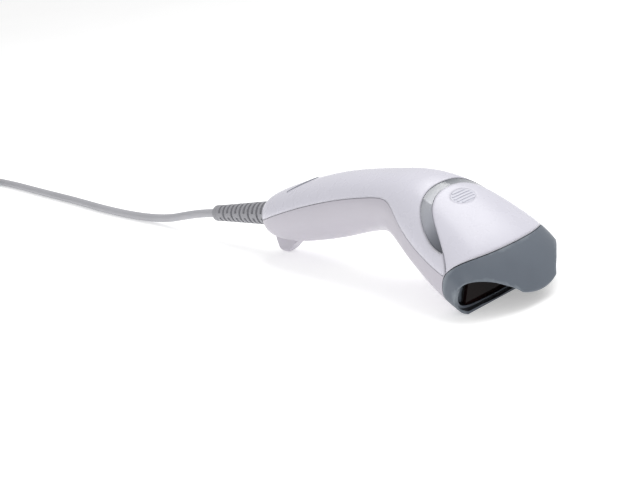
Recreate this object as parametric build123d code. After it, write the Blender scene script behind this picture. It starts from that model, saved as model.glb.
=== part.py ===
from build123d import *
import math
import os

# Handheld barcode scanner with a straight cable.  Millimetres.
# While it is modelled, X runs forward from the rear face of the handle, Y to the
# left, Z up from the surface the scanner rests on (tip of the rest hook, bottom lip).
# On export everything moves back by FRAME_X, to the middle of its base.

FRAME_X = 58.8
WALL = 2.0
SEAM_GAP = 0.3
HEAD_TILT = 35.0
HANDLE_TILT = 6.6
CABLE_AXIS_Z = 19.2

# Stations of the body: top point x, z; bottom point x, z; half width;
# where the widest line lies between bottom and top; fullness above and below it.
STATIONS = [
    (0.0, 26.6, 0.5, 12.4, 8.2, 0.50, 2.2, 2.2),
    (3.5, 29.4, 4.5, 9.6, 11.6, 0.50, 2.2, 2.2),
    (11.0, 32.8, 13.0, 8.2, 14.2, 0.50, 2.2, 2.2),
    (24.0, 37.2, 26.0, 8.8, 15.6, 0.52, 2.2, 2.2),
    (39.0, 41.4, 41.0, 11.4, 16.2, 0.53, 2.2, 2.2),
    (57.0, 45.4, 58.0, 15.0, 16.3, 0.54, 2.2, 2.2),
    (74.0, 47.8, 73.5, 19.3, 16.3, 0.54, 2.2, 2.2),
    (88.0, 49.2, 85.0, 21.8, 16.8, 0.53, 2.2, 2.2),
    (100.0, 49.8, 94.5, 21.5, 18.2, 0.50, 2.3, 2.2),
    (110.0, 48.8, 103.0, 18.0, 21.2, 0.46, 2.35, 2.3),
    (120.0, 45.9, 112.0, 13.0, 24.4, 0.43, 2.4, 2.5),
    (130.0, 41.2, 122.0, 8.4, 27.2, 0.41, 2.4, 2.8),
    (140.0, 35.2, 132.5, 4.0, 29.4, 0.40, 2.4, 3.3),
    (149.5, 28.6, 142.0, 0.5, 30.6, 0.40, 2.35, 3.8),
    (157.5, 20.6, 150.0, -3.4, 30.4, 0.42, 2.2, 3.8),
    (163.5, 12.0, 157.0, -7.0, 28.0, 0.45, 2.05, 3.6),
    (167.0, 3.0, 162.0, -14.0, 25.0, 0.45, 2.0, 3.6),
]
SECTION_POINTS = 28

# Side view of the parting line between the two covers.
SIDE_SEAM = [
    (-6.0, 17.0), (4.0, 19.8), (12.6, 22.8), (31.0, 28.9), (50.6, 34.3),
    (68.7, 38.3), (86.1, 41.1), (95.5, 42.0), (100.5, 41.4), (105.0, 38.9),
    (111.5, 33.2), (118.4, 28.2), (127.0, 23.4), (135.1, 19.7), (146.0, 15.2),
]
# Side view of the joint between the covers and the hood.
HOOD_SEAM = [
    (139.8, -6.0), (139.4, 6.0), (139.7, 13.6), (141.4, 17.6), (144.6, 20.6),
    (148.2, 22.5), (152.2, 23.5), (156.0, 24.0), (164.0, 24.8),
]
# Side view of the mouth: bottom lip, arched side opening, underside of the visor.
MOUTH = [
    (146.9, -4.0), (146.5, 0.6), (145.6, 3.4), (145.4, 6.6), (146.4, 9.8), (148.0, 12.7),
    (150.6, 15.0), (153.8, 15.9), (156.8, 15.4), (159.0, 14.3), (161.4, 12.3),
    (163.4, 10.2), (166.2, 5.9), (172.0, -4.0),
]
# Top view of the visor's front edge, one half: X, Y.
VISOR_EDGE = [
    (140.0, 35.0), (152.0, 28.2), (157.2, 23.8), (160.8, 19.6), (163.6, 15.4),
    (165.4, 10.2), (166.3, 4.0),
]
# The light pipe seen square to the top of the head: distance along the head, half width.
PIPE_OUTER = [
    (98.6, 26.6), (93.1, 26.1), (86.8, 24.3), (79.9, 21.0), (74.9, 16.9),
    (71.6, 11.4), (70.2, 5.6), (69.9, 0.0),
]
PIPE_INNER = [
    (98.6, 26.3), (95.0, 24.6), (90.4, 22.4), (85.1, 19.6), (79.8, 15.9),
    (76.3, 11.4), (74.2, 5.6), (73.7, 0.0),
]
BUTTON_FRONT = (120.0, 36.5)
BUTTON_GAP = 0.13
GRIP_S = 82.0
GRIP_HALF = (4.2, 6.6)

# The exit window: its place in the mouth, the height of its middle, and the rim round it.
WINDOW = Pos(142.4, 0, 1.5) * Rot(0, 18, 0)
WINDOW_MIDDLE = 11.6
WINDOW_WIDTH = 47.0
WINDOW_THICK = 1.5
APERTURE = (40.0, 15.0)
LIP_WALL = 0.9

BOOT_LENGTH = 48.6
BOOT_R_HANDLE = 6.2
BOOT_R_CABLE = 4.1
CORD_R = 2.25
PLUG_U = (3.25, 22.0)
JACK_U = (12.5, 30.0)
RELEASE_X = 26.5
RELEASE_R = 0.9

HEAD = Rot(0, HEAD_TILT, 0)
HANDLE = Pos(0, 0, CABLE_AXIS_Z) * Rot(0, -HANDLE_TILT, 0)


# ---------------------------------------------------------------- body form
def section_points(station, inset):
    """Points of one cross-section, moved in by inset."""
    top_x, top_z, low_x, low_z, half_width, widest, full_up, full_down = station
    height = math.hypot(top_x - low_x, top_z - low_z)
    up_x = (top_x - low_x) / height
    up_z = (top_z - low_z) / height
    side_h = widest * height
    points = []
    for k in range(SECTION_POINTS):
        angle = 2 * math.pi * k / SECTION_POINTS - math.pi / 2
        c, s = math.cos(angle), math.sin(angle)
        power = 2 / (full_up if s >= 0 else full_down)
        reach = (height - side_h if s >= 0 else side_h) - inset
        y = (half_width - inset) * math.copysign(abs(c) ** power, c)
        h = side_h + reach * math.copysign(abs(s) ** power, s)
        points.append((low_x + up_x * h, y, low_z + up_z * h))
    return points


def between(a, b, share):
    return tuple(p + share * (q - p) for p, q in zip(a, b))


def body_form(inset=0.0):
    """The closed outer form of handle and head, or a smaller one inside it."""
    stations = list(STATIONS)
    if inset:
        stations[0] = between(stations[0], stations[1], min(0.9, 0.32 * inset))
    wires = [
        Wire([Spline(*section_points(s, inset), periodic=True)]) for s in stations
    ]
    return Solid.make_loft(wires)


def side_prism(outline, half=45.0):
    """A closed side-view outline of points, pushed through the body along Y."""
    face = make_face(Plane.XZ * outline)
    return extrude(face, half, both=True)


def side_curve(points, closing):
    """A smooth side-view curve closed by straight lines through the closing points."""
    curve = Spline(*points)
    back = Polyline(points[-1], *closing, points[0])
    return Curve() + [curve, back]


def region_above_seam(drop=0.0):
    points = [(x, z - drop) for x, z in SIDE_SEAM]
    return side_prism(side_curve(points, [(190.0, 10.0), (190.0, 80.0), (-6.0, 80.0)]))


def region_behind_hood(gap=0.0):
    points = [(x - gap, z + gap) for x, z in HOOD_SEAM]
    return side_prism(side_curve(points, [(164.0, 90.0), (-60.0, 90.0), (-60.0, -6.0)]))


def head_prism(outline, low, high):
    """An outline of (along head, y) points, pushed along the head's own up direction."""
    face = make_face(outline)
    return HEAD * Pos(0, 0, low) * extrude(face, high - low)


def mirrored(points):
    return points + [(s, -y) for s, y in reversed(points[:-1])]


def pipe_region(grow=0.0):
    outer = Spline(*mirrored([(s - grow, y + grow) for s, y in PIPE_OUTER[:-1]]
                             + [(PIPE_OUTER[-1][0] - grow, 0.0)]))
    inner = Spline(*mirrored([(s + grow, y - grow) for s, y in PIPE_INNER[:-1]]
                             + [(PIPE_INNER[-1][0] + grow, 0.0)]))
    ends = [Line(outer @ k, inner @ k) for k in (0, 1)]
    return head_prism([outer, inner, *ends], 96.0, 116.0)


def button_region(grow=0.0):
    """The panel inside the light pipe, and on between its tips to the hood."""
    rear = Spline(*mirrored([(s - grow, y + grow) for s, y in PIPE_INNER[:-1]]
                            + [(PIPE_INNER[-1][0] - grow, 0.0)]))
    front_s, front_y = BUTTON_FRONT
    front = Polyline(rear @ 0, (front_s, front_y + grow), (front_s, -front_y - grow), rear @ 1)
    return head_prism([rear, front], 92.0, 116.0)


def head_box(s, y, t, size):
    return HEAD * Pos(s, y, t) * Box(*size)


def head_pin(s, y, t, radius, length, turn=(0, 0, 0)):
    return HEAD * Pos(s, y, t) * Rot(*turn) * Cylinder(radius, length)


def handle_box(u, y, w, size):
    return HANDLE * Pos(u, y, w) * Box(*size)


# ---------------------------------------------------------------- shared forms
outer = body_form()
cavity = body_form(WALL)
shell = outer - cavity
behind_hood = region_behind_hood(SEAM_GAP)
above = region_above_seam()
below_drop = region_above_seam(drop=0.22)

# ---------------------------------------------------------------- fixings shared by parts
BOSS_XS = (44.0, 101.0)
BOSS_SPLIT = {44.0: 27.0, 101.0: 34.0}
SCREW_R = 1.1
ENGINE_POSTS = [(s, y) for s in (84.0, 101.0) for y in (-11.0, 11.0)]
BOARD_SCREWS = [(33.0, 6.5), (90.0, -6.5)]


def boss(x, low, high, radius):
    return Pos(x, 0, (low + high) / 2) * Cylinder(radius, high - low)


# ---------------------------------------------------------------- housing
def make_top_cover():
    cover = shell & above & behind_hood
    cover = cover - pipe_region(0.08) - button_region()
    cable_hole = HANDLE * Pos(1, 0, 0) * Rot(0, 90, 0) * Cylinder(5.0, 8)
    insert = insert_region(0.08) & (outer - body_form(0.9))
    cover = cover - cable_hole - insert
    for x in BOSS_XS:
        post = boss(x, BOSS_SPLIT[x], 60, 2.7) & body_form(1.0)
        cover = cover + post - boss(x, BOSS_SPLIT[x] - 1, BOSS_SPLIT[x] + 8, SCREW_R)
    return cover


def rest_hook():
    """The fin below the cable end that the scanner hangs and rests on."""
    tail = [(0.4, 14.0), (1.2, 9.0), (2.4, 3.6), (3.4, 1.2), (5.6, -0.5)]
    nose = [(5.6, -0.5), (8.4, 0.7), (11.6, 3.2), (15.4, 6.0), (22.0, 9.4)]
    outline = Curve() + [Spline(*tail), Spline(*nose), Polyline(nose[-1], (22, 14), tail[0])]
    rounding = Pos(10, 0, 3.1) * Rot(0, 90, 0) * Cylinder(3.4, 40) + Pos(10, 0, 11.1) * Box(40, 6.8, 16)
    fin = side_prism(outline, 4.0) & rounding
    floor_cut = Pos(0, 0, -5) * Box(80, 20, 10)
    return fin - floor_cut - body_form(0.8)


def make_bottom_cover():
    cover = (shell & behind_hood) - below_drop + rest_hook()
    cable_hole = HANDLE * Pos(1, 0, 0) * Rot(0, 90, 0) * Cylinder(5.0, 8)
    cover = cover - cable_hole
    label_recess = (outer - body_form(0.8)) & label_region(0.15)
    cover = cover - label_recess
    for x in BOSS_XS:
        post = boss(x, -5, BOSS_SPLIT[x] - 0.1, 3.0) & body_form(0.9)
        head_hole = boss(x, -5, BOSS_SPLIT[x] - 6.0, 2.1)
        cover = cover + post - boss(x, -5, BOSS_SPLIT[x] + 1, SCREW_R + 0.1) - head_hole
    for s, y in ENGINE_POSTS:
        post = head_pin(s, y, 73.0, 2.3, 20.0) & body_form(0.9)
        cover = cover + post - head_pin(s, y, 81.0, 0.95, 4.1)
    for u, y in BOARD_SCREWS:
        post = HANDLE * Pos(u, y, BOARD_W - 10.05) * Cylinder(2.1, 20.0) & body_form(0.9)
        cover = cover + post - HANDLE * Pos(u, y, BOARD_W - 2.0) * Cylinder(1.02, 5.0)
    release_pad = Pos(RELEASE_X, 0, 10.6) * Cylinder(2.6, 3.0)
    release_hole = Pos(RELEASE_X, 0, 10) * Cylinder(RELEASE_R, 8)
    return cover + (release_pad & body_form(0.6)) - release_hole


def label_region(grow=0.0):
    return Pos(62, 0, 8) * Box(30 + 2 * grow, 13 + 2 * grow, 30)


def make_belly_label():
    return (body_form(0.3) - body_form(0.7)) & label_region()


def insert_region(grow=0.0):
    """A crescent across the top of the handle, pointing forward."""
    reach = 8.6 + grow
    steps = [-1, -0.66, -0.33, 0, 0.33, 0.66, 1]
    front = Spline(*[(35.6 + grow - 0.17 * (reach * k) ** 2, reach * k) for k in steps])
    rear = Spline(*[(33.0 - grow - 0.14 * (reach * k) ** 2, reach * k) for k in steps])
    ends = [Line(front @ k, rear @ k) for k in (0, 1)]
    return Pos(0, 0, 25) * extrude(make_face([front, rear, *ends]), 30)


def make_handle_insert():
    return (body_form(-0.3) - body_form(0.88)) & insert_region()


def mouth_cut():
    closing = [(185.0, -4.0), (185.0, -40.0), (145.9, -40.0)]
    return side_prism(side_curve(MOUTH, closing))


def visor_cut():
    """Everything in front of the visor's edge, seen from above."""
    edge = Spline(*VISOR_EDGE, *[(x, -y) for x, y in reversed(VISOR_EDGE)])
    back = Polyline(edge @ 1, (190.0, -35.0), (190.0, 35.0), edge @ 0)
    return Pos(0, 0, -20) * extrude(make_face([edge, back]), 80)


def window_slab(back, front):
    """The space between two planes parallel to the window."""
    return WINDOW * Pos((back + front) / 2, 0, 0) * Box(front - back, 90, 80)


def window_plate(back, front, width):
    """A plate across the inside of the hood, parallel to the window."""
    return body_form(WALL + 0.25) & (WINDOW * Pos((back + front) / 2, 0, 0) * Box(front - back, width, 80))


def window_opening(extra=0.0):
    return WINDOW * Pos(0, 0, WINDOW_MIDDLE) * Box(12, APERTURE[0] + extra, APERTURE[1] + extra)


def lip_region():
    """The front of the hood above its flat underside, where the walls round the mouth are thin."""
    return Pos(150, 0, LIP_WALL + 9) * Box(40, 80, 18)


def make_hood():
    front = shell - region_behind_hood()
    front = front - mouth_cut() - visor_cut()
    front = front - (body_form(LIP_WALL) & window_slab(WINDOW_THICK + 0.2, 30) & lip_region())
    rim = body_form(WALL - 0.1) - region_behind_hood()
    frame = (rim + body_form(WALL + 0.4)) & window_slab(-2.6, -1.0)
    hood = front + (frame - window_opening())
    floor_cut = Pos(150, 0, -10) * Box(80, 90, 20)
    return hood - floor_cut


def make_window_gasket():
    return window_plate(-0.95, -0.05, WINDOW_WIDTH) - window_opening(1.0)


def make_exit_window():
    return window_plate(0, WINDOW_THICK, WINDOW_WIDTH)


def make_light_pipes():
    ring = (body_form(0.25) - body_form(3.4)) & pipe_region()
    side = Pos(110, 50.06, 40) * Box(120, 100, 120)
    return ring & side, ring & mirror(side, Plane.XZ)


def make_scan_button():
    """Panel, with a rib behind it that pushes the switch."""
    panel = (outer - body_form(WALL + 0.2)) & button_region(-BUTTON_GAP) & above & behind_hood
    rib_top = head_pin(SWITCH_S, 0, 108.0, 2.0, 6.0) & body_form(1.0)
    rib = head_pin(SWITCH_S, 0, (PLUNGER_TOP + 109.0) / 2 + 0.02, 2.0, 109.0 - PLUNGER_TOP)
    rib = (rib & body_form(1.0)) + rib_top
    grip_bed = (outer - body_form(0.7)) & grip_region(0.06)
    return panel + rib - grip_bed


def grip_region(grow=0.0):
    oval = Ellipse(GRIP_HALF[0] + grow, GRIP_HALF[1] + grow)
    return HEAD * Pos(GRIP_S, 0, 90) * extrude(oval, 30)


def make_button_grip():
    """An oval inlay with five low ribs across it."""
    pad = (body_form(0.0) - body_form(0.64)) & grip_region()
    ribs = Part()
    for k in range(-2, 3):
        length = 2 * GRIP_HALF[1] * math.sqrt(1 - (k * 1.5 / GRIP_HALF[0]) ** 2) - 1.8
        ribs += head_box(GRIP_S + 1.5 * k, 0, 105, (0.6, length, 12))
    raised = (body_form(-0.28) - body_form(0.3)) & ribs
    return pad + raised


# ---------------------------------------------------------------- cable entry
def make_cable_boot():
    """Tapered strain relief with rows of slots, side ones between top and bottom ones."""
    cone = Pos(-BOOT_LENGTH / 2, 0, 0) * Rot(0, 90, 0) * Cone(
        BOOT_R_CABLE, BOOT_R_HANDLE, BOOT_LENGTH - 0.8
    )
    collar = Pos(-BOOT_LENGTH + 1.2, 0, 0) * Rot(0, 90, 0) * Cylinder(BOOT_R_CABLE + 0.15, 2.4)
    neck = Pos(1.2, 0, 0) * Rot(0, 90, 0) * Cylinder(4.85, 4.0)
    boot = cone + collar + neck
    pitch = (BOOT_LENGTH - 7.0) / 11
    for row in range(11):
        u = -BOOT_LENGTH + 4.4 + pitch * (row + 0.5)
        core = Cylinder(2.9, 2.2)
        ring = Cylinder(8, 1.7) - core
        bridge = Box(20, 2.2, 3) if row % 2 else Box(2.2, 20, 3)
        boot -= Pos(u, 0, 0) * Rot(0, 90, 0) * (ring - bridge)
    return HANDLE * boot


def make_cable_plug():
    """Modular plug with its release tab on the underside."""
    body = Pos((PLUG_U[0] + PLUG_U[1]) / 2, 0, 0) * Box(PLUG_U[1] - PLUG_U[0], 11.7, 6.4)
    tab = Pos(13.0, 0, -4.4) * Rot(0, 5, 0) * Box(12.0, 3.2, 0.7)
    root = Pos(19.2, 0, -3.9) * Box(2.0, 3.2, 1.6)
    slots = Part()
    for k in range(10):
        slots += Pos(19.4, (k - 4.5) * 1.02, 3.0) * Box(5.4, 0.42, 2.6)
    return HANDLE * (body + tab + root - slots)


def make_plug_contacts():
    blades = Part()
    for k in range(10):
        blades += Pos(19.2, (k - 4.5) * 1.02, 2.7) * Box(4.4, 0.34, 1.5)
    return HANDLE * blades


def make_cable_jack():
    length = JACK_U[1] - JACK_U[0]
    centre = (JACK_U[0] + JACK_U[1]) / 2
    body = Pos(centre, 0, 0.35) * Box(length, 15.0, 12.5)
    room = Pos(centre - 3.0, 0, -0.95) * Box(length, 12.0, 9.4)
    return HANDLE * (body - room)


def make_jack_contacts():
    """Spring wires from the rear wall of the jack down on to the blades of the plug."""
    wires = Part()
    for k in range(10):
        y = (k - 4.5) * 1.02
        wires += Pos(23.5, y, 3.6) * Box(6.6, 0.4, 0.3)
        wires += Pos(26.75, y, 1.0) * Box(0.3, 0.4, 5.5)
    return HANDLE * wires


# ---------------------------------------------------------------- main board
BOARD_U = (19.0, 92.0)
BOARD_W = 6.7
BOARD_THICK = 1.6
BOARD_TOP = BOARD_W + BOARD_THICK


def make_main_board():
    length = BOARD_U[1] - BOARD_U[0]
    board = handle_box((BOARD_U[0] + BOARD_U[1]) / 2, 0, BOARD_W + BOARD_THICK / 2,
                       (length, 18.6, BOARD_THICK))
    board -= boss(BOSS_XS[0], 10, 60, 3.3)
    for u, y in BOARD_SCREWS:
        board -= HANDLE * Pos(u, y, BOARD_TOP) * Cylinder(1.2, 8)
    return board


def chip(u, y, size, pins):
    """A flat chip on the board with pins on its two long sides."""
    body = handle_box(u, y, BOARD_TOP + 0.15 + size[2] / 2, size)
    for side in (-1, 1):
        for k in range(pins):
            along = (k - (pins - 1) / 2) * (size[0] - 1.0) / pins
            body += handle_box(u + along, y + side * size[1] / 2, BOARD_TOP + 0.3, (0.35, 1.6, 0.6))
    return body


def make_crystal_can():
    can = SlotOverall(10.0, 4.0)
    return HANDLE * Pos(72.0, -5.5, BOARD_TOP) * extrude(can, 3.4)


def make_capacitors():
    cans = Part()
    for u, y, radius, height in ((34.5, -4.5, 2.5, 4.4), (83.0, 5.0, 2.0, 5.0), (83.0, -5.0, 2.0, 5.0)):
        cans += HANDLE * Pos(u, y, BOARD_TOP + height / 2) * Cylinder(radius, height)
    return cans


def make_small_components():
    """Rows of chip resistors and chip capacitors on the underside of the board."""
    pieces = Part()
    for column in range(6):
        for row in range(3):
            u = 52.0 + 5.6 * column
            y = (row - 1) * 4.6
            pieces += handle_box(u, y, BOARD_W - 0.35, (2.0, 1.2, 0.7))
    return pieces


def make_beeper():
    can = Cylinder(5.6, 4.2) - Pos(0, 0, 2) * Cylinder(0.9, 2.0)
    return HANDLE * Pos(63.5, 0, BOARD_TOP + 2.1) * can


def make_board_screws():
    screws = Part()
    cross = Box(2.4, 0.5, 0.7) + Box(0.5, 2.4, 0.7)
    head = Cylinder(1.9, 1.1) - Pos(0, 0, 0.4) * cross
    for u, y in BOARD_SCREWS:
        screws += HANDLE * Pos(u, y, BOARD_TOP - 1.5) * Cylinder(1.0, 5.0)
        screws += HANDLE * Pos(u, y, BOARD_TOP + 0.56) * head
    return screws


def make_housing_screws():
    screws = Part()
    for x in BOSS_XS:
        split = BOSS_SPLIT[x]
        screws += boss(x, split - 5.9, split + 6.5, SCREW_R - 0.04)
        head = boss(x, split - 7.6, split - 6.02, 1.95) - Pos(x, 0, split - 7.4) * Box(2.6, 0.6, 1.2)
        screws += head - Pos(x, 0, split - 7.4) * Box(0.6, 2.6, 1.2)
        screws += boss(x, split - 6.1, split - 5.8, SCREW_R - 0.04)
    return screws


# ---------------------------------------------------------------- trigger switch
SWITCH_S = 80.0
SWITCH_BOARD_T = 98.9
SWITCH_HEIGHT = 2.4
PLUNGER_TOP = 103.0


def make_switch_board():
    board = head_box(79.5, 0, SWITCH_BOARD_T, (17.0, 15.0, 1.2))
    for y in (-5.5, 5.5):
        board += head_box(85.0, y, SWITCH_BOARD_T - 0.9, (3.0, 2.0, 0.7))
    return board


def make_trigger_switch():
    low = SWITCH_BOARD_T + 0.6
    body = head_box(SWITCH_S, 0, low + SWITCH_HEIGHT / 2, (6.0, 6.0, SWITCH_HEIGHT))
    return body - head_pin(SWITCH_S, 0, low + 1.9, 1.62, 1.2)


def make_switch_plunger():
    low = SWITCH_BOARD_T + 0.6 + 1.9
    return head_pin(SWITCH_S, 0, (low + PLUNGER_TOP) / 2, 1.55, PLUNGER_TOP - low)


def make_status_lamps():
    lamps = Part()
    for y in (-4.2, 4.2):
        lamps += head_box(73.6, y, SWITCH_BOARD_T + 1.15, (2.4, 1.6, 1.1))
        lamps += head_pin(73.6, y, SWITCH_BOARD_T + 1.9, 0.75, 0.8)
    return lamps


# ---------------------------------------------------------------- scan engine
CHASSIS_LOW = 83.0
CHASSIS_HIGH = 98.2
MIRROR_S = 90.0
MIRROR_Y = 4.5
MIRROR_T = 90.5
MIRROR_TURN = -45.0


def make_engine_chassis():
    height = CHASSIS_HIGH - CHASSIS_LOW
    middle = (CHASSIS_HIGH + CHASSIS_LOW) / 2
    body = head_box(92.0, 0, middle, (25.0, 30.0, height))
    body -= head_box(93.3, 0, middle + 1.5, (25.0, 27.4, height))
    body += head_box(79.9, 0, CHASSIS_HIGH - 0.6, (0.8, 12.0, 1.0))
    for s, y in ENGINE_POSTS:
        body -= head_pin(s, y, CHASSIS_LOW, 1.1, 5.0)
    body -= head_pin(MIRROR_S, -14.3, MIRROR_T, 3.05, 4.0, (90, 0, 0))
    pad = head_pin(MIRROR_S, MIRROR_Y, CHASSIS_LOW + 2.2, 1.6, 2.4)
    return body + pad - head_pin(MIRROR_S, MIRROR_Y, CHASSIS_LOW + 2.4, 0.5, 3.2)


def mirror_place():
    return HEAD * Pos(MIRROR_S, MIRROR_Y, MIRROR_T) * Rot(0, 0, MIRROR_TURN)


def make_scan_mirror():
    return mirror_place() * Pos(1.55, 0, 0) * Box(0.9, 10.0, 8.0)


def make_mirror_carrier():
    """Carrier with a running bore for the pin, and arms that hold mirror and magnet."""
    carrier = Box(2.2, 6.0, 7.0) + Pos(-1.6, 0, 0) * Box(1.2, 3.0, 3.2)
    return mirror_place() * (carrier - Cylinder(0.55, 12))


def make_mirror_magnet():
    return mirror_place() * Pos(-3.0, 0, 0) * Box(1.6, 3.4, 3.4)


def make_mirror_pin():
    return head_pin(MIRROR_S, MIRROR_Y, MIRROR_T - 0.5, 0.5, 11.4)


def make_drive_coil():
    ring = Cylinder(3.3, 2.6) - Cylinder(1.35, 2.6)
    return mirror_place() * Pos(-6.9, 0, 0) * Rot(0, 90, 0) * ring


def make_coil_core():
    core = Cylinder(1.3, 3.6) + Pos(0, 0, -1.8) * Cylinder(3.1, 0.8)
    return mirror_place() * Pos(-7.1, 0, 0) * Rot(0, 90, 0) * core


def make_laser_barrel():
    barrel = Cylinder(3.0, 9.0) - Pos(0, 0, -3.4) * Cylinder(2.1, 2.6)
    return HEAD * Pos(MIRROR_S, -10.6, MIRROR_T) * Rot(90, 0, 0) * barrel


def make_laser_lens():
    dome = Cylinder(2.05, 1.2) + Pos(0, 0, -0.6) * Cone(1.2, 2.0, 0.7)
    return HEAD * Pos(MIRROR_S, -7.3, MIRROR_T) * Rot(90, 0, 0) * dome


def make_collector_mirror():
    """A dished reflector that gathers the returning light."""
    plate = Box(2.6, 9.0, 9.8) - Pos(15.6, 0, 0.9) * Sphere(15.2)
    return HEAD * Pos(96.6, -8.4, 89.45) * Rot(0, 0, 20) * plate


DIODE_PLACE = HEAD * Pos(102.6, 7.6, 89.0) * Rot(0, 0, 20)


def make_photodiode():
    body = Box(1.4, 4.0, 4.0)
    for y in (-1.2, 1.2):
        body += Pos(-0.9, y, -2.2) * Box(0.4, 0.5, 4.6)
    return DIODE_PLACE * body


def make_optical_filter():
    return DIODE_PLACE * Pos(1.2, 0, 0) * Box(0.9, 4.4, 4.4)


def make_engine_board():
    board = head_box(93.5, 0, 82.2, (14.0, 24.0, 1.0))
    for s, y in ENGINE_POSTS:
        board -= head_pin(s, y, 82.2, 2.5, 4.0)
    board += head_box(92.5, 0, 81.2, (6.0, 6.0, 1.2))
    return board + head_box(92.5, 8.0, 81.35, (2.0, 4.0, 0.9))


def make_engine_screws():
    screws = Part()
    for s, y in ENGINE_POSTS:
        screws += head_pin(s, y, CHASSIS_LOW + 0.2, 0.9, 3.8)
        slot = head_box(s, y, CHASSIS_LOW + 2.5, (2.2, 0.5, 0.6))
        screws += head_pin(s, y, CHASSIS_LOW + 2.02, 1.7, 1.0) - slot
    return screws


def make_flex_cable():
    """Flat cable from the engine board back to the underside of the main board."""
    path = [(112.0, 18.0), (106.0, 22.0), (95.5, 27.0), (92.0, 32.0), (86.0, 34.4)]
    line = Polyline(*path)
    ribbon = make_face(Plane.XZ * offset(line, 0.15))
    return Pos(0, 6.3, 0) * extrude(ribbon, 2.7, both=True)


# ---------------------------------------------------------------- cord
TILT = math.radians(HANDLE_TILT)
CORD_START = (-BOOT_LENGTH * math.cos(TILT), 0.0, CABLE_AXIS_Z - BOOT_LENGTH * math.sin(TILT))
FLOOR_Z = CORD_R + 0.05
COIL_CENTRE = (-340.0, -25.0)
COIL_MIDDLE_R = 26.0
COIL_REACH = 13.7
COIL_HEIGHT = 9.3
CORD_ROUTE = [
    CORD_START,
    (-62.0, 0.1, 12.0),
    (-79.0, 0.7, 8.6),
    (-99.0, 1.6, 4.0),
    (-125.0, 0.6, FLOOR_Z),
    (-162.0, 1.2, FLOOR_Z),
    (-204.0, 5.4, FLOOR_Z),
    (-250.0, 8.2, FLOOR_Z),
    (-295.0, 11.9, FLOOR_Z),
    (-340.0, 12.2, FLOOR_Z),
]
TAIL_ROUTE = [
    (-340.0, -62.2, FLOOR_Z + 4.5),
    (-322.0, -63.6, 4.9),
    (-303.0, -65.8, FLOOR_Z),
    (-286.0, -64.8, FLOOR_Z),
]


def corner_radii(route):
    """The largest arc at each corner that its two runs leave room for."""
    points = [Vector(*p) for p in route]
    radii = []
    for before, here, after in zip(points, points[1:], points[2:]):
        turn = (here - before).get_angle(after - here)
        run = min((here - before).length, (after - here).length)
        radii.append(0.45 * run / math.tan(math.radians(turn) / 2))
    return radii


def make_tube(route):
    radii = corner_radii(route)
    print("cord radii", [round(r, 1) for r in radii])
    path = FilletPolyline(*route, radius=radii)
    start = Plane(origin=path @ 0, z_dir=path % 0)
    tube = sweep(start * Circle(CORD_R), path=path)
    print("cord tube length", round(path.length, 1), "volume", round(tube.volume, 1),
          "section times length", round(math.pi * CORD_R**2 * path.length, 1))
    return tube


def make_cord_coil():
    ring = Cylinder(COIL_MIDDLE_R + COIL_REACH, COIL_HEIGHT)
    ring -= Cylinder(COIL_MIDDLE_R - COIL_REACH, COIL_HEIGHT)
    ring = fillet(ring.edges(), 2.0)
    return Pos(*COIL_CENTRE, COIL_HEIGHT / 2 + 0.05) * ring


def make_cord_tie():
    """Strap round the section of the coil, with its small head on top."""
    wide = 2 * COIL_REACH
    strap = Box(4.0, wide + 1.8, COIL_HEIGHT + 1.4) - Box(5.0, wide + 0.2, COIL_HEIGHT + 0.2)
    strap += Pos(0, 0, COIL_HEIGHT / 2 + 1.5) * Box(5.0, 6.0, 2.0)
    strap -= Pos(0, 0, -COIL_HEIGHT / 2 - 0.55) * Box(6.0, wide + 4.0, 1.0)
    return Pos(COIL_CENTRE[0] - 2.0, COIL_CENTRE[1] - COIL_MIDDLE_R, COIL_HEIGHT / 2 + 0.05) * strap


USB_END = Vector(*TAIL_ROUTE[-1])
USB_TURN = math.degrees(math.atan2(TAIL_ROUTE[-1][1] - TAIL_ROUTE[-2][1],
                                   TAIL_ROUTE[-1][0] - TAIL_ROUTE[-2][0]))
USB_PLACE = Pos(USB_END.X, USB_END.Y, 4.05) * Rot(0, 0, USB_TURN)


def make_usb_overmould():
    grip = Pos(15.0, 0, 0) * Box(20.0, 15.6, 8.0)
    grip = fillet(grip.edges().filter_by(Axis.X), 2.0)
    neck = Pos(2.6, 0, FLOOR_Z - 4.05) * Rot(0, 90, 0) * Cone(2.4, 3.4, 5.0)
    neck = neck & Pos(2.6, 0, 0) * Box(20, 20, 8.0)
    return USB_PLACE * (grip + neck)


def make_usb_shell():
    shell_box = Pos(31.0, 0, 0) * Box(12.0, 12.0, 4.5) - Pos(31.0, 0, 0) * Box(12.2, 11.4, 3.9)
    for y in (-2.6, 2.6):
        shell_box -= Pos(32.5, y, 2.0) * Box(2.4, 2.0, 1.2)
    return USB_PLACE * shell_box


def make_usb_tongue():
    tongue = Pos(30.6, 0, -0.9) * Box(11.2, 11.2, 1.9)
    return USB_PLACE * tongue


def make_usb_contacts():
    pads = Part()
    for y in (-3.5, -1.0, 1.0, 3.5):
        pads += Pos(31.4, y, 0.16) * Box(8.0, 1.1, 0.2)
    return USB_PLACE * pads


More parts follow.
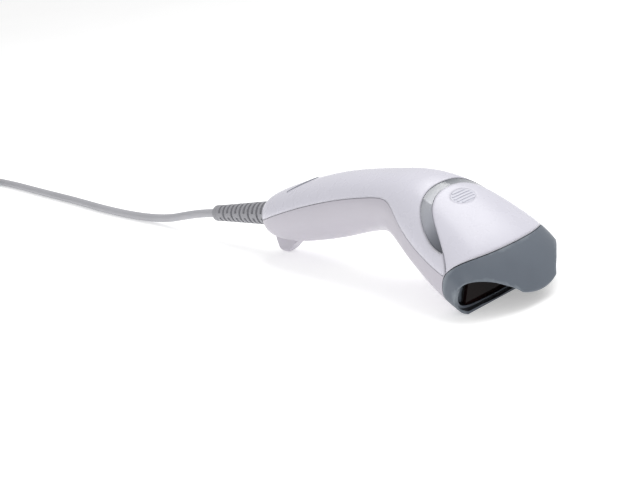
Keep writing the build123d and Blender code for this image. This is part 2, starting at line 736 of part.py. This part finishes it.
# ---------------------------------------------------------------- assembly
pipe_left, pipe_right = make_light_pipes()
parts = {
    "top_cover": make_top_cover(),
    "bottom_cover": make_bottom_cover(),
    "hood": make_hood(),
    "exit_window": make_exit_window(),
    "window_gasket": make_window_gasket(),
    "light_pipe_left": pipe_left,
    "light_pipe_right": pipe_right,
    "scan_button": make_scan_button(),
    "button_grip": make_button_grip(),
    "handle_insert": make_handle_insert(),
    "belly_label": make_belly_label(),
    "cable_boot": make_cable_boot(),
    "cable_plug": make_cable_plug(),
    "plug_contacts": make_plug_contacts(),
    "cable_jack": make_cable_jack(),
    "jack_contacts": make_jack_contacts(),
    "main_board": make_main_board(),
    "decoder_chip": chip(53.0, 0.0, (7.0, 7.0, 1.2), 6),
    "interface_chip": chip(73.5, 4.0, (5.0, 4.4, 1.2), 4),
    "memory_chip": chip(79.5, 0.0, (4.0, 5.0, 1.0), 3),
    "crystal_can": make_crystal_can(),
    "capacitors": make_capacitors(),
    "small_components": make_small_components(),
    "beeper": make_beeper(),
    "board_screws": make_board_screws(),
    "housing_screws": make_housing_screws(),
    "switch_board": make_switch_board(),
    "trigger_switch": make_trigger_switch(),
    "switch_plunger": make_switch_plunger(),
    "status_lamps": make_status_lamps(),
    "engine_chassis": make_engine_chassis(),
    "scan_mirror": make_scan_mirror(),
    "mirror_carrier": make_mirror_carrier(),
    "mirror_magnet": make_mirror_magnet(),
    "mirror_pin": make_mirror_pin(),
    "drive_coil": make_drive_coil(),
    "coil_core": make_coil_core(),
    "laser_barrel": make_laser_barrel(),
    "laser_lens": make_laser_lens(),
    "collector_mirror": make_collector_mirror(),
    "photodiode": make_photodiode(),
    "optical_filter": make_optical_filter(),
    "engine_board": make_engine_board(),
    "engine_screws": make_engine_screws(),
    "flex_cable": make_flex_cable(),
    "cord_tube": make_tube(CORD_ROUTE),
    "cord_coil": make_cord_coil(),
    "cord_tail": make_tube(TAIL_ROUTE),
    "cord_tie": make_cord_tie(),
    "usb_overmould": make_usb_overmould(),
    "usb_shell": make_usb_shell(),
    "usb_tongue": make_usb_tongue(),
    "usb_contacts": make_usb_contacts(),
}

os.makedirs("parts", exist_ok=True)
for name, piece in parts.items():
    export_step(Pos(-FRAME_X, 0, 0) * piece, f"parts/{name}.step")
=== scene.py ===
import bpy
import math
from mathutils import Matrix, Vector


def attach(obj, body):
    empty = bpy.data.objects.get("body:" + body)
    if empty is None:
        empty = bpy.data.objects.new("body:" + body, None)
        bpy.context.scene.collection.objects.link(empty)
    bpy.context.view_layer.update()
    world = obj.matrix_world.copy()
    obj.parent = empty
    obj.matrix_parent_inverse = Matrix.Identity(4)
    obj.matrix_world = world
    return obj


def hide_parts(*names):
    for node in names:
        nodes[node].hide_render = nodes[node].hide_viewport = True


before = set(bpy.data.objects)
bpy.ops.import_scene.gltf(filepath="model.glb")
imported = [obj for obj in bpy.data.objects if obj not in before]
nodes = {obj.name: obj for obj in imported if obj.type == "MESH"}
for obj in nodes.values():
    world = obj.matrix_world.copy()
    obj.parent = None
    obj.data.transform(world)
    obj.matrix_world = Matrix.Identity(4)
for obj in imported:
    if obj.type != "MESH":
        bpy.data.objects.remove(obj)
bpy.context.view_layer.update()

MM = 0.001
FRAME_X = 58.8  # how far the frame's origin lies in front of the rear of the handle, in mm


def place(x, y, z):
    """A point given from the rear of the handle, in millimetres, as a point in metres."""
    return Vector(((x - FRAME_X) * MM, y * MM, z * MM))


# ---------------------------------------------------------------- camera
CAMERA_AT = (493.74, -381.28, 199.88)
CAMERA_AZIMUTH = 50.528
CAMERA_ELEVATION = 17.675
CAMERA_ROLL = -9.833
SENSOR_WIDTH = 36.0
LENS = 73.125


def make_camera():
    data = bpy.data.cameras.new("camera")
    data.lens = LENS
    data.sensor_width = SENSOR_WIDTH
    data.clip_start = 0.05
    data.clip_end = 20.0
    camera = bpy.data.objects.new("camera", data)
    bpy.context.scene.collection.objects.link(camera)
    azimuth = Matrix.Rotation(math.radians(CAMERA_AZIMUTH), 4, "Z")
    tilt = Matrix.Rotation(math.radians(90.0 - CAMERA_ELEVATION), 4, "X")
    roll = Matrix.Rotation(math.radians(CAMERA_ROLL), 4, "Z")
    camera.matrix_world = Matrix.Translation(place(*CAMERA_AT)) @ azimuth @ tilt @ roll
    bpy.context.scene.camera = camera


# ---------------------------------------------------------------- cord
CORD_R = 2.25
FLOOR_Z = CORD_R + 0.05
BOOT_LENGTH = 48.6
CABLE_AXIS_Z = 19.2
HANDLE_TILT = math.radians(6.6)
HEAD_TILT = math.radians(35.0)
CORD_START = (
    -BOOT_LENGTH * math.cos(HANDLE_TILT),
    0.0,
    CABLE_AXIS_Z - BOOT_LENGTH * math.sin(HANDLE_TILT),
)
CORD_ROUTE = [
    CORD_START,
    (-62.0, 0.1, 12.0),
    (-79.0, 0.7, 8.6),
    (-99.0, 1.6, 4.0),
    (-125.0, 0.6, FLOOR_Z),
    (-162.0, 1.2, FLOOR_Z),
    (-204.0, 5.4, FLOOR_Z),
    (-250.0, 8.2, FLOOR_Z),
    (-295.0, 11.9, FLOOR_Z),
]
TAIL_ROUTE = [
    (-322.0, -63.6, 4.9),
    (-303.0, -65.8, FLOOR_Z),
    (-286.0, -64.8, FLOOR_Z),
]
COIL_CENTRE = (-340.0, -25.0)
COIL_OUTER_R = 37.2
TURNS_PER_LAYER = 5
RISE_TURNS = 0.5
PITCH = 2 * CORD_R + 0.06
POINTS_PER_TURN = 16


def coil_points():
    """Two flat layers of turns: in along the floor, up on to them, and out again."""
    points = []
    flat = TURNS_PER_LAYER * POINTS_PER_TURN
    rise = int(RISE_TURNS * POINTS_PER_TURN)
    for k in range(2 * flat + rise + 1):
        angle = math.pi / 2 + 2 * math.pi * k / POINTS_PER_TURN
        inward = min(k, flat) / POINTS_PER_TURN
        outward = max(0, k - flat - rise) / POINTS_PER_TURN
        lift = min(1.0, max(0.0, (k - flat) / rise))
        radius = COIL_OUTER_R - PITCH * (inward - outward)
        x = COIL_CENTRE[0] + radius * math.cos(angle)
        y = COIL_CENTRE[1] + radius * math.sin(angle)
        points.append((x, y, FLOOR_Z + PITCH * lift))
    return points


def spline_length(curve):
    """Length of a curve's own line, from the polyline that it is drawn with."""
    bevel = curve.data.bevel_depth
    curve.data.bevel_depth = 0.0
    mesh = bpy.data.meshes.new_from_object(curve)
    curve.data.bevel_depth = bevel
    points = [v.co for v in mesh.vertices]
    length = sum((b - a).length for a, b in zip(points, points[1:]))
    bpy.data.meshes.remove(mesh)
    return length


def make_cord():
    data = bpy.data.curves.new("cord", "CURVE")
    data.dimensions = "3D"
    route = [place(*p) for p in CORD_ROUTE + coil_points() + TAIL_ROUTE]
    spline = data.splines.new("NURBS")
    spline.points.add(len(route) - 1)
    for point, at in zip(spline.points, route):
        point.co = (*at, 1.0)
        point.radius = CORD_R * MM
    spline.order_u = 3
    spline.use_endpoint_u = True
    spline.resolution_u = 6
    data.bevel_depth = 1.0  # times each point's own radius
    data.bevel_resolution = 6
    data.use_fill_caps = True
    cord = bpy.data.objects.new("cord", data)
    bpy.context.scene.collection.objects.link(cord)
    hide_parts("cord_tube", "cord_coil", "cord_tail")
    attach(cord, "housing")
    print("cord length", round(spline_length(cord), 4))
    return cord


# ---------------------------------------------------------------- material tools
def srgb(value):
    return tuple(
        c / 12.92 if c <= 0.04045 else ((c + 0.055) / 1.055) ** 2.4 for c in value
    )


def new_material(name):
    material = bpy.data.materials.new(name)
    material.use_nodes = True
    tree = material.node_tree
    shader = next(n for n in tree.nodes if n.type == "BSDF_PRINCIPLED")
    return material, tree, shader


def noise(tree, scale, detail=3.0, roughness=0.5):
    """Noise in object space, scale in features per metre."""
    where = tree.nodes.new("ShaderNodeTexCoord")
    node = tree.nodes.new("ShaderNodeTexNoise")
    node.inputs["Scale"].default_value = scale
    node.inputs["Detail"].default_value = detail
    node.inputs["Roughness"].default_value = roughness
    tree.links.new(where.outputs["Object"], node.inputs["Vector"])
    return node.outputs["Fac"]


def ramp(tree, source, stops):
    node = tree.nodes.new("ShaderNodeValToRGB")
    elements = node.color_ramp.elements
    while len(elements) < len(stops):
        elements.new(0.5)
    for element, (at, colour) in zip(elements, stops):
        element.position = at
        element.color = (*colour, 1.0) if len(colour) == 3 else colour
    tree.links.new(source, node.inputs["Fac"])
    return node.outputs["Color"]


def span(tree, source, low, high, start=0.3, end=0.7):
    node = tree.nodes.new("ShaderNodeMapRange")
    node.inputs["From Min"].default_value = start
    node.inputs["From Max"].default_value = end
    node.inputs["To Min"].default_value = low
    node.inputs["To Max"].default_value = high
    tree.links.new(source, node.inputs["Value"])
    return node.outputs["Result"]


def bump(tree, shader, source, strength, distance):
    node = tree.nodes.new("ShaderNodeBump")
    node.inputs["Strength"].default_value = strength
    node.inputs["Distance"].default_value = distance
    tree.links.new(source, node.inputs["Height"])
    last = shader.inputs["Normal"]
    if last.links:
        tree.links.new(last.links[0].from_socket, node.inputs["Normal"])
    tree.links.new(node.outputs["Normal"], last)


def painted_edge_mask(tree, low=0.53, high=0.62):
    """Where the surface turns over an outer edge: the mask of a painted highlight."""
    geometry = tree.nodes.new("ShaderNodeNewGeometry")
    return span(tree, geometry.outputs["Pointiness"], 0.0, 1.0, low, high)


def mix(tree, factor, a, b):
    node = tree.nodes.new("ShaderNodeMix")
    node.data_type = "RGBA"
    tree.links.new(factor, node.inputs["Factor"])
    for value, socket in ((a, node.inputs["A"]), (b, node.inputs["B"])):
        if isinstance(value, tuple):
            socket.default_value = (*value, 1.0)
        else:
            tree.links.new(value, socket)
    return node.outputs["Result"]


def plastic(name, colour, rough=(0.32, 0.42), shade=0.06, grain=0.05, grain_scale=5200.0,
            coat=0.0, edge_highlight_colour=None, even=0.0):
    """Moulded plastic: fine spark-eroded grain, slight cloudiness, and a painted highlight on
    outer edges where an edge colour is given.

    even is the radius, in metres, over which the surface's normals are averaged.
    """
    material, tree, shader = new_material(name)
    base = srgb(colour)
    darker = tuple(c * (1 - shade) for c in base)
    cloud = noise(tree, 45.0, 4.0)
    tint = ramp(tree, cloud, [(0.35, darker), (0.65, base)])
    # painted highlight: outer edges are painted lighter, toward the given edge colour
    if edge_highlight_colour:
        tint = mix(tree, painted_edge_mask(tree), tint, srgb(edge_highlight_colour))
    tree.links.new(tint, shader.inputs["Base Color"])
    tree.links.new(span(tree, noise(tree, 130.0, 5.0), *rough), shader.inputs["Roughness"])
    shader.inputs["IOR"].default_value = 1.49
    shader.inputs["Coat Weight"].default_value = coat
    shader.inputs["Coat Roughness"].default_value = 0.12
    if even:
        average = tree.nodes.new("ShaderNodeBevel")
        average.samples = 8
        average.inputs["Radius"].default_value = even
        tree.links.new(average.outputs["Normal"], shader.inputs["Normal"])
    bump(tree, shader, noise(tree, grain_scale, 2.0, 0.6), grain, 0.00006)
    return material


def vector_math(tree, operation, a, b=None):
    node = tree.nodes.new("ShaderNodeVectorMath")
    node.operation = operation
    tree.links.new(a, node.inputs[0])
    if isinstance(b, tuple):
        node.inputs[1].default_value = b
    elif b:
        tree.links.new(b, node.inputs[1])
    return node


def facing_inside(tree, middle, half_width):
    """1 where the surface of a hollow piece looks at a line across its inside, 0 elsewhere: the
    mask of the painted shade inside.
    """
    where = tree.nodes.new("ShaderNodeTexCoord")
    split = tree.nodes.new("ShaderNodeSeparateXYZ")
    tree.links.new(where.outputs["Object"], split.inputs["Vector"])
    across = tree.nodes.new("ShaderNodeClamp")
    across.inputs["Min"].default_value = -half_width
    across.inputs["Max"].default_value = half_width
    tree.links.new(split.outputs["Y"], across.inputs["Value"])
    line = tree.nodes.new("ShaderNodeCombineXYZ")
    line.inputs["X"].default_value = middle.x
    line.inputs["Z"].default_value = middle.z
    tree.links.new(across.outputs["Result"], line.inputs["Y"])
    inward = vector_math(tree, "SUBTRACT", line.outputs["Vector"], where.outputs["Object"])
    unit = vector_math(tree, "NORMALIZE", inward.outputs["Vector"])
    looks = vector_math(tree, "DOT_PRODUCT", unit.outputs["Vector"], where.outputs["Normal"])
    return span(tree, looks.outputs["Value"], 0.0, 1.0, 0.30, 0.40)


def paint_shade_inside(material, colour, middle, half_width):
    """Paint shade on the inside of a hollow piece, in its own material: a painted dark colour
    where the surface faces inward.
    """
    tree = material.node_tree
    shader = next(n for n in tree.nodes if n.type == "BSDF_PRINCIPLED")
    outside = shader.inputs["Base Color"].links[0].from_socket
    # painted shade: the dark colour is mixed over the outside colour where the surface faces
    # inward
    tint = mix(tree, facing_inside(tree, middle, half_width), outside, srgb(colour))
    tree.links.new(tint, shader.inputs["Base Color"])


def metal(name, colour, rough=(0.18, 0.34), brushed=1.0):
    """Metal with a grain that is drawn out across the vertical, brushed times over."""
    material, tree, shader = new_material(name)
    base = srgb(colour)
    where = tree.nodes.new("ShaderNodeTexCoord")
    stretch = tree.nodes.new("ShaderNodeMapping")
    stretch.inputs["Scale"].default_value = (1.0, 1.0, 14.0 * brushed)
    grain = tree.nodes.new("ShaderNodeTexNoise")
    grain.inputs["Scale"].default_value = 900.0
    grain.inputs["Detail"].default_value = 4.0
    tree.links.new(where.outputs["Object"], stretch.inputs["Vector"])
    tree.links.new(stretch.outputs["Vector"], grain.inputs["Vector"])
    dull = tuple(c * 0.8 for c in base)
    tint = ramp(tree, grain.outputs["Fac"], [(0.3, dull), (0.7, base)])
    tree.links.new(tint, shader.inputs["Base Color"])
    tree.links.new(span(tree, grain.outputs["Fac"], *rough), shader.inputs["Roughness"])
    shader.inputs["Metallic"].default_value = 1.0
    bump(tree, shader, grain.outputs["Fac"], 0.08, 0.00003)
    return material


def smoked_pipe():
    """Tinted clear moulding over a white reflector, with painted light along its length: a
    painted highlight near the rear and painted shade towards the tip.
    """
    material, tree, shader = new_material("smoked_pipe")
    where = tree.nodes.new("ShaderNodeTexCoord")
    forward = (math.cos(HEAD_TILT), 0.0, -math.sin(HEAD_TILT))
    along = vector_math(tree, "DOT_PRODUCT", where.outputs["Object"], forward)
    rear, tip = ((s - FRAME_X * math.cos(HEAD_TILT)) * MM for s in (70.0, 98.0))
    painted_light_along_pipe = span(tree, along.outputs["Value"], 0.0, 1.0, rear, tip)
    # painted light: dark at the rear end, a painted highlight near the rear, painted shade
    # deepening towards the tip
    tint = ramp(tree, painted_light_along_pipe, [(0.0, srgb((0.50, 0.52, 0.55))), (0.22, srgb((0.80, 0.81, 0.84))),
                              (0.50, srgb((0.74, 0.75, 0.79))), (0.72, srgb((0.55, 0.56, 0.60))),
                              (1.0, srgb((0.36, 0.37, 0.41)))])
    cloud = ramp(tree, noise(tree, 70.0, 3.0), [(0.3, (0.8, 0.8, 0.8)), (0.7, (1.0, 1.0, 1.0))])
    shade = tree.nodes.new("ShaderNodeMix")
    shade.data_type = "RGBA"
    shade.blend_type = "MULTIPLY"
    shade.inputs["Factor"].default_value = 0.6
    tree.links.new(tint, shade.inputs["A"])
    tree.links.new(cloud, shade.inputs["B"])
    tree.links.new(shade.outputs["Result"], shader.inputs["Base Color"])
    tree.links.new(span(tree, noise(tree, 400.0), 0.08, 0.16), shader.inputs["Roughness"])
    shader.inputs["Transmission Weight"].default_value = 0.35
    shader.inputs["IOR"].default_value = 1.53
    shader.inputs["Coat Weight"].default_value = 0.5
    shader.inputs["Coat Roughness"].default_value = 0.04
    bump(tree, shader, noise(tree, 600.0), 0.04, 0.00005)
    return material


def window_glass():
    material, tree, shader = new_material("window_glass")
    deep = srgb((0.05, 0.03, 0.03))
    shallow = srgb((0.09, 0.04, 0.04))
    tint = ramp(tree, noise(tree, 60.0), [(0.3, deep), (0.7, shallow)])
    tree.links.new(tint, shader.inputs["Base Color"])
    tree.links.new(span(tree, noise(tree, 300.0), 0.04, 0.09), shader.inputs["Roughness"])
    shader.inputs["Specular IOR Level"].default_value = 0.08
    bump(tree, shader, noise(tree, 250.0), 0.02, 0.00004)
    return material


# ---------------------------------------------------------------- materials per node
def dress(material, *names):
    for name in names:
        slots = nodes[name].data.materials
        slots.clear()
        slots.append(material)


def dress_shell(cord):
    """Everything that shows from outside."""
    cover = plastic("cover_plastic", (0.82, 0.815, 0.855), rough=(0.24, 0.32), shade=0.02,
                    grain=0.02, even=2.0 * MM)
    lower = plastic("lower_plastic", (0.745, 0.73, 0.765), rough=(0.28, 0.37), shade=0.03,
                    grain=0.05)
    # painted highlight: the hood's outer edges are painted lighter
    hood = plastic("hood_plastic", (0.38, 0.41, 0.45), rough=(0.34, 0.44), shade=0.08,
                   grain=0.10, edge_highlight_colour=(0.52, 0.55, 0.58))
    # painted shade: the hood's inside is painted nearly black, standing in for the shade inside
    # it
    paint_shade_inside(hood, (0.10, 0.105, 0.125), place(145.0, 0.0, 8.0), 20.0 * MM)
    jacket = plastic("cord_jacket", (0.60, 0.60, 0.62), rough=(0.42, 0.55), shade=0.08,
                     grain=0.12, grain_scale=2600.0)
    cord_skin = plastic("cord_skin", (0.68, 0.68, 0.70), rough=(0.38, 0.5), shade=0.06,
                        grain=0.10, grain_scale=2600.0)
    grip = plastic("grip_plastic", (0.80, 0.80, 0.84), rough=(0.35, 0.45), shade=0.05,
                   grain=0.10)
    insert = plastic("insert_plastic", (0.55, 0.56, 0.60), rough=(0.35, 0.45), shade=0.06,
                     grain=0.10)
    label = plastic("label_film", (0.80, 0.80, 0.79), rough=(0.3, 0.36), shade=0.03,
                    grain=0.02)
    tie = plastic("tie_plastic", (0.10, 0.10, 0.10), rough=(0.35, 0.5), shade=0.1,
                  grain=0.1)
    dress(cover, "top_cover", "scan_button")
    dress(lower, "bottom_cover")
    dress(hood, "hood")
    dress(smoked_pipe(), "light_pipe_left", "light_pipe_right")
    dress(window_glass(), "exit_window", "optical_filter")
    dress(jacket, "cable_boot", "usb_overmould")
    dress(grip, "button_grip", "switch_plunger")
    dress(insert, "handle_insert")
    dress(label, "belly_label")
    dress(tie, "cord_tie")
    cord.data.materials.append(cord_skin)


def dress_works():
    """Plastics and boards inside the housing and in the plugs."""
    black = plastic("black_plastic", (0.09, 0.09, 0.10), rough=(0.45, 0.6), shade=0.2,
                    grain=0.15)
    rubber = plastic("rubber", (0.07, 0.07, 0.075), rough=(0.6, 0.75), shade=0.2, grain=0.2)
    clear = plastic("clear_plastic", (0.80, 0.81, 0.81), rough=(0.1, 0.16), shade=0.04,
                    grain=0.02, coat=0.5)
    board = plastic("board_green", (0.06, 0.30, 0.16), rough=(0.25, 0.35), shade=0.3,
                    grain=0.1, coat=0.3)
    sleeve = plastic("sleeve_dark", (0.08, 0.10, 0.20), rough=(0.2, 0.3), shade=0.2,
                     grain=0.05)
    ceramic = plastic("ceramic", (0.55, 0.45, 0.34), rough=(0.4, 0.55), shade=0.3, grain=0.2)
    lamp = plastic("lamp_lens", (0.85, 0.30, 0.18), rough=(0.08, 0.15), shade=0.1,
                   grain=0.02, coat=0.8)
    flex = plastic("flex_film", (0.80, 0.48, 0.16), rough=(0.2, 0.3), shade=0.1, grain=0.04)
    dress(black, "cable_jack", "decoder_chip", "interface_chip", "memory_chip", "beeper",
          "trigger_switch", "mirror_carrier", "photodiode", "usb_tongue")
    dress(rubber, "window_gasket")
    dress(clear, "cable_plug", "laser_lens")
    dress(board, "main_board", "switch_board", "engine_board")
    dress(sleeve, "capacitors")
    dress(ceramic, "small_components")
    dress(lamp, "status_lamps")
    dress(flex, "flex_cable")


def dress_metals():
    steel = metal("plated_steel", (0.74, 0.74, 0.76))
    aluminium = metal("cast_aluminium", (0.62, 0.63, 0.65), rough=(0.35, 0.5), brushed=0.1)
    gold = metal("gold", (0.87, 0.72, 0.38), rough=(0.15, 0.28))
    copper = metal("copper", (0.78, 0.45, 0.28), rough=(0.2, 0.32))
    silver = metal("mirror_silver", (0.93, 0.93, 0.94), rough=(0.02, 0.05))
    dress(steel, "board_screws", "housing_screws", "engine_screws", "mirror_pin",
          "mirror_magnet", "coil_core", "usb_shell", "crystal_can")
    dress(aluminium, "engine_chassis")
    dress(gold, "plug_contacts", "jack_contacts", "usb_contacts", "laser_barrel")
    dress(copper, "drive_coil")
    dress(silver, "scan_mirror", "collector_mirror")


# ---------------------------------------------------------------- studio
def make_floor():
    data = bpy.data.meshes.new("floor")
    half = 3.0
    corners = [(-half, -half, 0), (half, -half, 0), (half, half, 0), (-half, half, 0)]
    data.from_pydata(corners, [], [(0, 1, 2, 3)])
    floor = bpy.data.objects.new("floor", data)
    bpy.context.scene.collection.objects.link(floor)
    material, tree, shader = new_material("floor_paper")
    tint = ramp(tree, noise(tree, 12.0), [(0.3, (0.92, 0.92, 0.92)), (0.7, (0.94, 0.94, 0.94))])
    tree.links.new(tint, shader.inputs["Base Color"])
    shader.inputs["Emission Color"].default_value = (1.0, 1.0, 1.0, 1.0)
    shader.inputs["Emission Strength"].default_value = 0.34
    shader.inputs["Roughness"].default_value = 0.9
    bump(tree, shader, noise(tree, 900.0), 0.02, 0.0001)
    data.materials.append(material)


def soft_light(name, at, towards, size, power):
    data = bpy.data.lights.new(name, "AREA")
    data.shape = "RECTANGLE"
    data.size, data.size_y = size
    data.energy = power
    light = bpy.data.objects.new(name, data)
    bpy.context.scene.collection.objects.link(light)
    light.location = at
    aim = Vector(towards) - Vector(at)
    light.rotation_euler = aim.to_track_quat("-Z", "Y").to_euler()


def make_studio():
    make_floor()
    world = bpy.data.worlds.new("studio")
    world.use_nodes = True
    backdrop = world.node_tree.nodes["Background"]
    backdrop.inputs["Color"].default_value = (1.0, 1.0, 1.0, 1.0)
    backdrop.inputs["Strength"].default_value = 0.62
    bpy.context.scene.world = world
    bpy.context.scene.view_settings.view_transform = "Standard"
    soft_light("overhead", (0.04, 0.36, 0.74), (0.06, 0.0, 0.03), (0.7, 0.6), 4.2)
    soft_light("front", (0.55, -0.75, 0.45), (0.05, 0.0, 0.03), (0.5, 0.5), 1.5)


make_camera()
cord = make_cord()
dress_shell(cord)
dress_works()
dress_metals()
make_studio()
